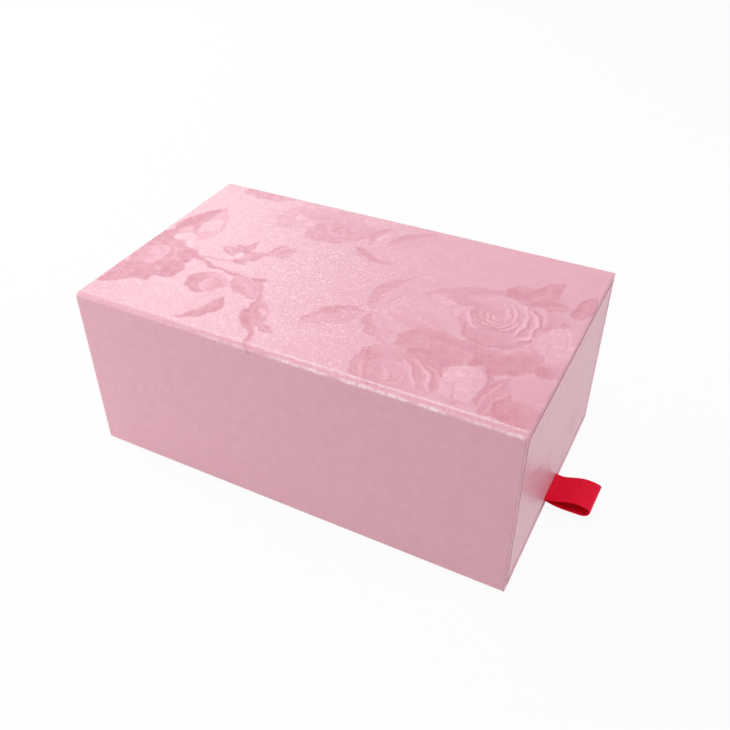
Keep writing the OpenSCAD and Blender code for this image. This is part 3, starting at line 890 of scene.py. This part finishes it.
def sleeve_paper():
    """The pearl paper round the sleeve, with the pattern pressed into its top."""
    section, row_stops = sleeve_section()
    places, backs, column_stops = sleeve_lengthwise()
    y, z = section[:, :1], section[:, 1:]
    x, inset = places[:, 0][None], places[:, 1][None]
    low = wrap_low[2]
    corner = 4.0            # how near a corner the turned-in paper bends
    inside, window = (wall, corner, corner - wall), (END_TURN_OVER, corner, 1.0)
    inside_y = drawn_in(y, -half_width, half_width, *inside)
    inside_z = drawn_in(z, low, sleeve_top, *inside)
    window_y = drawn_in(y, -half_width, half_width, *window)
    window_z = drawn_in(z, low, sleeve_top, *window)
    on_end = x < wrap_low[0] + END_EDGE_RADIUS - 1e-6

    def points(inset, x):
        share = np.where(on_end, inset / END_TURN_OVER, inset / wall)
        target_y = np.where(on_end, window_y, inside_y)
        target_z = np.where(on_end, window_z, inside_z)
        drawn_y, drawn_z = y + (target_y - y) * share, z + (target_z - z) * share
        # Over the lip's outer half the folds keep their shape and are only cut back
        cut_y = np.clip(y, inset - half_width, half_width - inset)
        cut_z = np.clip(z, low + inset, sleeve_top - inset)
        cut = (x > mouth - LIP_RADIUS) * smooth((wall - LIP_INSIDE_RADIUS / 2 - inset)
                                                / LIP_INSIDE_RADIUS)
        return np.stack(np.broadcast_arrays(x, drawn_y + (cut_y - drawn_y) * cut,
                                            drawn_z + (cut_z - drawn_z) * cut), -1)

    unrolled = way_along(section)
    middle = np.argmax((section[:, 1] > sleeve_top - 1) & (section[:, 0] > 0))
    unrolled += section[middle, 0] - unrolled[middle]
    pattern = Pressing(*np.broadcast_arrays(x, unrolled[:, None]))
    press_top(pattern)
    run = unrolled[:, None] + half_width
    on_top = smooth((run + PATTERN_FADE) / 3) * smooth((2 * half_width + 2 - run) / 3)
    shown = on_top * (inset < 2 * wall) * smooth((wall - inset) / wall) * ~on_end
    raised = smooth((run - FRONT_CREASE) / 2) * smooth((half_width + RELIEF_END - run) / 2)
    raised = raised * smooth((mouth - LIP_RADIUS - x) / 2)
    relief = RELIEF * pattern.height * shown * raised
    relief = np.where(relief < 0, SUNK_SHARE * relief, relief)
    front = points(inset - relief, x)
    back = points(backs[:, 1][None], backs[:, 0][None])
    band = smooth(run / 0.8) * smooth((FRONT_CREASE - 0.6 - run) / 0.8)
    matt = np.maximum(pattern.matt, BAND_MATT * band * pattern.fine)
    # The pattern's matt, light ridges and dark creases, and the front fold's painted highlight
    values = np.stack([shown * matt, shown * pattern.light, shown * pattern.dark,
                       painted_fold_highlights(x, run, inset)], -1)
    rows = len(row_stops) - 1
    base_rows = {0, rows - 2}              # under the base sheet's sides
    # The column where the mouth's round edge begins
    mouth_start = column_stops.index(len(places) - 2 * LIP_STEPS - 3)

    def kept(row, column):
        if row == rows - 1:                # across the base, only by the closed end
            return column < 5
        if row in base_rows:               # the base sheet is folded here instead
            return column < mouth_start
        return True

    piece = paper_shell("sleeve_paper", front, back, row_stops, column_stops, kept, values)
    finish_piece(piece, "pressed", "sleeve", "sleeve_wrap")


sleeve_paper()


# ---------------------------------------------------------------- base sheet

def places_from(*stretches):
    """Joins stretches of places into one row, and gives the stops between them."""
    places, stops = [tuple(stretches[0][0])], [0]
    for stretch in stretches:
        places += [tuple(place) for place in stretch[1:]]
        stops.append(len(places) - 1)
    return np.array(places, float), stops


def bends(centre, radius, start, end, steps):
    """A round bend as one short stretch for each of its steps."""
    points = arc(centre, radius, start, end, steps)
    return list(zip(points, points[1:]))


def sleeve_base_paper():
    """The sheet under the sleeve, folded over its mouth edge and turned in."""
    slope = 0.2             # how near the turned-under paper's edge its back slopes
    flat = [base_low[0], turn_under_end - slope, turn_under_end + slope]
    thick = base_high[2]
    places = [(x, 0) for x in flat] + mouth_lip(thick, 0) + [(turn_in_back, thick)]
    backs = [(x, paper) for x in flat] + mouth_lip(thick, paper)
    backs.append((turn_in_back, thick - paper))
    half, margin = base_high[1], half_width - BASE_TURN_UNDER
    across = np.array([-half, -margin - slope, slope - margin,
                       margin - slope, margin + slope, half])
    y = across[:, None]

    def points(row):
        x, z = np.array(row).T
        return np.stack(np.broadcast_arrays(x[None], y, z[None]), -1)

    front, back = points(places), points(backs)
    # Inside the margins of the turned-under paper the sheet's back reaches the board
    under = np.array(places)[:, 1] < paper
    window = (np.abs(y) < margin) & (front[..., 0] > turn_under_end) & under[None]
    back[..., 2] += paper * window
    piece = paper_shell("sleeve_base_paper", front, back, list(range(len(across))),
                        list(range(len(places))), lambda row, column: True)
    finish_piece(piece, "plain", "sleeve", "sleeve_base_sheet")


sleeve_base_paper()


# ---------------------------------------------------------------- drawer paper

DRAWER_CORNER = 0.45     # outside radius of the drawer's upright corners
RIM_RADIUS = 0.55
RIM_INSIDE_RADIUS = 0.45
FLOOR_EDGE_RADIUS = 0.5
FOOT_RADIUS = 2.0        # of the fold at the foot of the drawer's face
SLIT_GAP = 0.1           # round the ribbon in its slit
FLOOR_TURN_UNDER = 12.0
FACE_GROUND = 0.06       # how far the face's plain ground lies behind its ridges
FACE_FINE = 0.9


def drawer_paper():
    """The pearl paper round the drawer, folded over its rim and under its floor,
    with leaves pressed into its face and a slit for the ribbon."""
    back_x, face_x, half = tray_low[0], tray_high[0], tray_high[1]
    thick = face_x - face_board_back + paper       # a drawer wall with its papers
    slit = ribbon_high[1] + SLIT_GAP
    r = DRAWER_CORNER
    plan, row_stops = places_from(
        [(back_x, 0), (back_x, r - half)],
        *bends((back_x + r, r - half), r, 180, 270, 4),
        [(back_x + r, -half), (face_x - r, -half)],
        *bends((face_x - r, r - half), r, 270, 360, 4),
        [(face_x, y) for y in even(r - half, -slit, FACE_FINE)],
        [(face_x, y) for y in even(-slit, slit, FACE_FINE)],
        [(face_x, y) for y in even(slit, half - r, FACE_FINE)],
        *bends((face_x - r, half - r), r, 0, 90, 4),
        [(face_x - r, half), (back_x + r, half)],
        *bends((back_x + r, half - r), r, 90, 180, 4),
        [(back_x, half - r), (back_x, 0)])
    low, top = tray_low[2], tray_high[2]
    slit_low, slit_high = floor_lining_low[2], ribbon_root_top + SLIT_GAP

    def outline(foot, shift):
        """The paper's way up a wall, as places (z, inset), set in by shift."""
        def bent(centre, radius, *turn):
            return [[(z, -i) for z, i in bend] for bend in bends(centre, radius - shift, *turn)]

        return places_from(
            [(low + shift, FLOOR_TURN_UNDER), (low + shift, foot)],
            *bent((low + foot, -foot), foot, 180, 90, 5),
            [(low + foot, shift), (slit_low, shift)],
            [(slit_low, shift), (slit_high, shift)],
            [(z, shift) for z in even(slit_high, top - RIM_RADIUS, FACE_FINE)],
            *bent((top - RIM_RADIUS, -RIM_RADIUS), RIM_RADIUS, 90, 0, 4),
            [(top - shift, RIM_RADIUS), (top - shift, thick - RIM_INSIDE_RADIUS)],
            *bent((top - RIM_INSIDE_RADIUS, RIM_INSIDE_RADIUS - thick), RIM_INSIDE_RADIUS,
                  0, -90, 3),
            [(top - RIM_INSIDE_RADIUS, thick - shift), (rim_paper_low, thick - shift)])

    x, y = plan[:, :1], plan[:, 1:]
    at_face = smooth((x - (face_x - r)) / r)

    def places(shift):
        """The heights and insets over the whole paper, with a rounder foot at the face."""
        plain, round_foot = outline(FLOOR_EDGE_RADIUS, shift)[0], outline(FOOT_RADIUS, shift)[0]
        both = plain[None] * (1 - at_face)[..., None] + round_foot[None] * at_face[..., None]
        return both[..., 0], both[..., 1]

    row, column_stops = outline(FLOOR_EDGE_RADIUS, 0)
    z, inset = places(0)
    corner = 2.0            # how near a corner the turned-in paper bends
    inside, window = (thick, corner, 0.2), (FLOOR_TURN_UNDER, corner, 0.5)
    inside_x = drawn_in(x, back_x, face_x, *inside)
    inside_y = drawn_in(y, -half, half, *inside)
    window_x = drawn_in(x, back_x, face_x, *window)
    window_y = drawn_in(y, -half, half, *window)
    below = (np.arange(len(row)) < 2)[None]    # the places that lie under the floor

    def points(inset, z):
        share = np.where(below, inset / FLOOR_TURN_UNDER, inset / thick)
        target_x = np.where(below, window_x, inside_x)
        target_y = np.where(below, window_y, inside_y)
        return np.stack(np.broadcast_arrays(x + (target_x - x) * share,
                                            y + (target_y - y) * share, z), -1)

    pattern = Pressing(*np.broadcast_arrays(y, z))
    press_face(pattern)
    on_face = at_face * smooth((inset < 0.01) * (top - z) / 2)
    values = np.stack([pattern.matt, pattern.light, pattern.dark,
                       np.zeros_like(pattern.matt)], -1) * on_face[..., None]
    relief = FACE_GROUND * (pattern.height - 1) * on_face
    front = points(inset - relief, z)
    back_z, back_inset = places(paper)
    back = points(back_inset, back_z)
    face_rows = [k for k, stop in enumerate(row_stops[:-1])
                 if abs(plan[stop, 1] + slit) < 1e-6 and plan[stop, 0] > 0]
    slit_column = [k for k, stop in enumerate(column_stops[:-1])
                   if abs(row[stop, 0] - slit_low) < 1e-6 and row[stop, 1] == 0]

    def kept(row, column):
        return not (row in face_rows and column in slit_column)

    piece = paper_shell("drawer_paper", front, back, row_stops, column_stops, kept, values)
    finish_piece(piece, "pressed", "drawer", "drawer_wrap")


# ---------------------------------------------------------------- ribbon

RIBBON_THICK = 0.45
RIB_HEIGHT = 0.06
SELVEDGE = 0.9           # width of the plain-woven edge
SELVEDGE_ROUND = 0.35    # how far in from the side its thin rim begins
SELVEDGE_THIN = 0.12     # how much thinner the rim is on each face
STEPS_TO_A_RIB = 4

ribbon_root_top = floor_lining_high[2] + 2 * RIBBON_THICK
face = tray_high[0]
upper_ply = floor_lining_high[2] + 1.5 * RIBBON_THICK
lower_ply = floor_lining_high[2] + 0.5 * RIBBON_THICK
reach = ribbon_high[0] - RIBBON_THICK / 2 - face


def curve(a, b, c, d, steps=40):
    """Points on a cubic curve with four control points, without the first."""
    a, b, c, d = (np.array(p, float) for p in (a, b, c, d))
    t = np.linspace(0, 1, steps + 1)[1:, None]
    return (1 - t) ** 3 * a + 3 * t * (1 - t) ** 2 * b + 3 * t * t * (1 - t) * c + t ** 3 * d


def loop_edge(crest, dip, tip_out, tip_height, belly, sag):
    """One edge of the ribbon as points (x, z): its upper tail, out through the slit,
    up to the crest, round the tip, back along the belly and in again."""
    def at(share, height):
        return face + share * reach, height

    tail = ribbon_low[0]
    tip = at(tip_out, tip_height)
    turn = at(0.76, belly)
    return np.concatenate([
        [(tail, upper_ply)], [(face - 1.0, upper_ply)],
        curve((face - 1.0, upper_ply), at(0.22, upper_ply - dip), at(0.42, crest - 0.1),
              at(0.70, crest)),
        curve(at(0.70, crest), at(0.88, crest), (tip[0] - 0.1, (crest + tip_height) / 2), tip),
        curve(tip, (tip[0] + 0.1, (belly + tip_height) / 2), at(0.93, belly - 0.1), turn),
        curve(turn, at(0.52, belly + 0.1), at(0.26, lower_ply - sag), (face - 1.0, lower_ply)),
        [(tail, lower_ply)]])


def evenly(path, count):
    """The same path with a number of points at even steps along it."""
    run = way_along(path)
    places = np.linspace(0, run[-1], count)
    return np.stack([np.interp(places, run, path[:, k]) for k in range(2)], -1)


def ribbon():
    """The grosgrain loop, with its ribs and selvedges. Its far edge hangs lower. Its
    "weave" says where it is a groove between ribs, which gets painted shade, and where it is
    selvedge."""
    near = loop_edge(crest=10.9, dip=0.9, tip_out=1.0, tip_height=8.25, belly=4.5, sag=3.0)
    far = loop_edge(crest=9.4, dip=2.8, tip_out=1.02, tip_height=7.8, belly=4.1, sag=2.6)
    length = way_along((near + far) / 2)[-1]
    count = math.ceil(length / (RIB_PITCH / STEPS_TO_A_RIB)) + 1
    near, far = evenly(near, count), evenly(far, count)
    half = ribbon_high[1]
    middle_part = np.linspace(SELVEDGE - half, half - SELVEDGE, 13)
    across = np.concatenate([[-half, SELVEDGE_ROUND - half], middle_part,
                             [half - SELVEDGE_ROUND, half]])
    share = ((across + half) / (2 * half))[:, None]
    lines = near[:, None] * (1 - share)[None] + far[:, None] * share[None]
    ahead = np.gradient(lines, axis=0)
    ahead /= np.linalg.norm(ahead, axis=-1, keepdims=True)
    out = np.stack([-ahead[..., 1], ahead[..., 0]], -1)
    phase = 2 * np.pi * np.arange(count) / STEPS_TO_A_RIB
    edge = np.clip((half - np.abs(across)) / SELVEDGE, 0, 1)[None]
    rib = 0.5 + 0.5 * np.cos(phase)[:, None]
    swell = RIB_HEIGHT * rib * smooth(edge) - SELVEDGE_THIN * (1 - smooth(edge * 2))
    thick = (RIBBON_THICK / 2 - RIB_HEIGHT + swell)[..., None]
    points = []
    for sign in (1, -1):
        flat = lines + sign * thick * out
        y = np.broadcast_to(across, flat.shape[:2])
        points.append(np.stack([flat[..., 0], y, flat[..., 1]], -1).reshape(-1, 3))
    wide = len(across)
    top = np.arange(count * wide).reshape(count, wide)
    under = top + count * wide
    faces = [quads(top), quads(under[:, ::-1])]
    for a, b in ((top[:, 0], under[:, 0]), (under[:, -1], top[:, -1]),
                 (under[0], top[0]), (top[-1], under[-1])):
        faces.append(np.stack([a[:-1], b[:-1], b[1:], a[1:]], -1))
    faces = np.concatenate(faces)
    piece = object_from("ribbon_loop", np.concatenate(points), faces.tolist(), len(faces))
    weave = np.zeros((2 * count * wide, 4))
    # Where the grooves are, for their painted shade
    weave[:, 0] = np.tile(((1 - rib) * edge).ravel(), 2)
    weave[:, 1] = np.tile(np.broadcast_to(1 - edge, (count, wide)).ravel(), 2)
    weave[:, 3] = 1
    keep_values(piece, "weave", weave)
    finish_piece(piece, "ribbon", "drawer", "ribbon_pull")


ribbon()
drawer_paper()


# ---------------------------------------------------------------- ribbon patch

PATCH_SLOPE = 1.4        # how wide the pasted paper slopes off the tails


def patch_paper():
    """The paper patch that is pasted over the ribbon's tails."""
    tails = ribbon_high[1]
    x = stepped(patch_low[0], (ribbon_low[0] - PATCH_SLOPE, 2.0),
                (ribbon_low[0] + 0.3, 0.25), (patch_high[0], 2.0))
    y = stepped(patch_low[1], (-tails - PATCH_SLOPE, 2.0), (0.3 - tails, 0.25),
                (tails - 0.3, 2.0), (tails + PATCH_SLOPE, 0.25), (patch_high[1], 2.0))
    over = smooth((x - ribbon_low[0] + PATCH_SLOPE) / PATCH_SLOPE)[None] \
        * smooth((tails + PATCH_SLOPE - np.abs(y)) / PATCH_SLOPE)[:, None]
    low, high = patch_low[2] + paper, patch_high[2]
    front = np.stack(np.broadcast_arrays(x[None], y[:, None], low + (high - low) * over), -1)
    back = front - np.array([0, 0, paper])
    piece = paper_shell("ribbon_patch_paper", front, back, list(range(len(y))),
                        list(range(len(x))), lambda row, column: True)
    finish_piece(piece, "lining", "drawer", "ribbon_patch")


patch_paper()


# ---------------------------------------------------------------- light and floor

def lamp(name, at, size, power, colour="#ffffff"):
    """A soft square lamp that looks at the box. Places and sizes are in metres."""
    light = bpy.data.lights.new(name, "AREA")
    light.shape, light.size = "SQUARE", size
    light.energy = power
    light.color = linear(colour)[:3]
    made = new_object(name, light)
    made.location = at
    looks = Vector(BOX_MIDDLE) - Vector(at)
    made.rotation_euler = looks.to_track_quat("-Z", "Y").to_euler()


def backdrop_white(tree):
    """1 for rays from the camera, from gloss and through glass."""
    path = add(tree, "ShaderNodeLightPath")
    either = add(tree, "ShaderNodeMath", {0: path.outputs["Is Camera Ray"],
                                          1: path.outputs["Is Glossy Ray"]}, operation="MAXIMUM")
    return add(tree, "ShaderNodeMath", {0: either.outputs[0],
                                        1: path.outputs["Is Transmission Ray"]},
               operation="MAXIMUM").outputs[0]


FLOOR_SIZE = 6.0           # metres
FLOOR_BELOW = 0.0002       # metres that it lies below the box
FLOOR_GLOW = 0.93          # how much of it is plain white, so that its shadow stays faint
WORLD_LIGHT = 0.25
BOX_MIDDLE = (0, 0, 0.05)


def light_scene():
    """A dim white room and five lamps. The ones behind and at the left give the top
    its sheen and glitter, and the side that the photo shows is lit from its left."""
    world = bpy.data.worlds.new("studio")
    bpy.context.scene.world = world
    world.use_nodes = True
    tree = world.node_tree
    tree.nodes.clear()
    dim = add(tree, "ShaderNodeBackground", {"Color": linear("#ffffff"), "Strength": WORLD_LIGHT})
    white = add(tree, "ShaderNodeBackground", {"Color": linear("#ffffff"), "Strength": 1.0})
    mixed = add(tree, "ShaderNodeMixShader", {0: backdrop_white(tree), 1: dim.outputs[0],
                                              2: white.outputs[0]})
    add(tree, "ShaderNodeOutputWorld", {"Surface": mixed.outputs[0]})
    lamp("window_behind", (-0.78, 0.83, 0.80), 0.4, 4.4)
    lamp("window_left", (-1.0, 0.1, 0.6), 0.8, 5.0)
    lamp("lamp_front", (-0.80, -0.58, 0.26), 0.9, 6.5)
    lamp("lamp_right", (1.3, 0.3, 0.45), 0.8, 4.4, "#fbf0ff")
    lamp("lamp_over", (0.20, -0.2, 1.05), 0.5, 3.7)


def make_floor():
    """A floor that looks white, and still takes the box's shadow."""
    mesh = bpy.data.meshes.new("floor")
    half = FLOOR_SIZE / 2
    mesh.from_pydata([(-half, -half, 0), (half, -half, 0), (half, half, 0), (-half, half, 0)],
                     [], [(0, 1, 2, 3)])
    floor = new_object("floor", mesh)
    floor.location.z = cad_low.z - FLOOR_BELOW
    material, tree = new_material("floor_white")
    lit = add(tree, "ShaderNodeBsdfDiffuse", {"Color": linear("#f2f2f2")})
    glow = add(tree, "ShaderNodeEmission", {"Color": linear("#ffffff"), "Strength": 1.0})
    share = add(tree, "ShaderNodeMath", {0: backdrop_white(tree), 1: FLOOR_GLOW},
                operation="MULTIPLY")
    both = add(tree, "ShaderNodeMixShader", {0: share.outputs[0], 1: lit.outputs[0],
                                             2: glow.outputs[0]})
    add(tree, "ShaderNodeOutputMaterial", {"Surface": both.outputs[0]})
    floor.data.materials.append(material)


light_scene()
make_floor()
bpy.context.scene.view_settings.view_transform = "Standard"


# ---------------------------------------------------------------- CAD pieces

def dress(node, material):
    """Gives a carried-over CAD node a material of this scene."""
    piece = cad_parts[node]
    piece.data.materials.clear()
    piece.data.materials.append(materials[material])


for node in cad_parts:
    if node.endswith("_board"):
        dress(node, "board")
    elif node.endswith("_tapes"):
        dress(node, "tape")
    elif "lining" in node or node == "ribbon_patch":
        dress(node, "lining")
    elif node == "ribbon_pull":
        dress(node, "ribbon")
    else:
        dress(node, "plain")
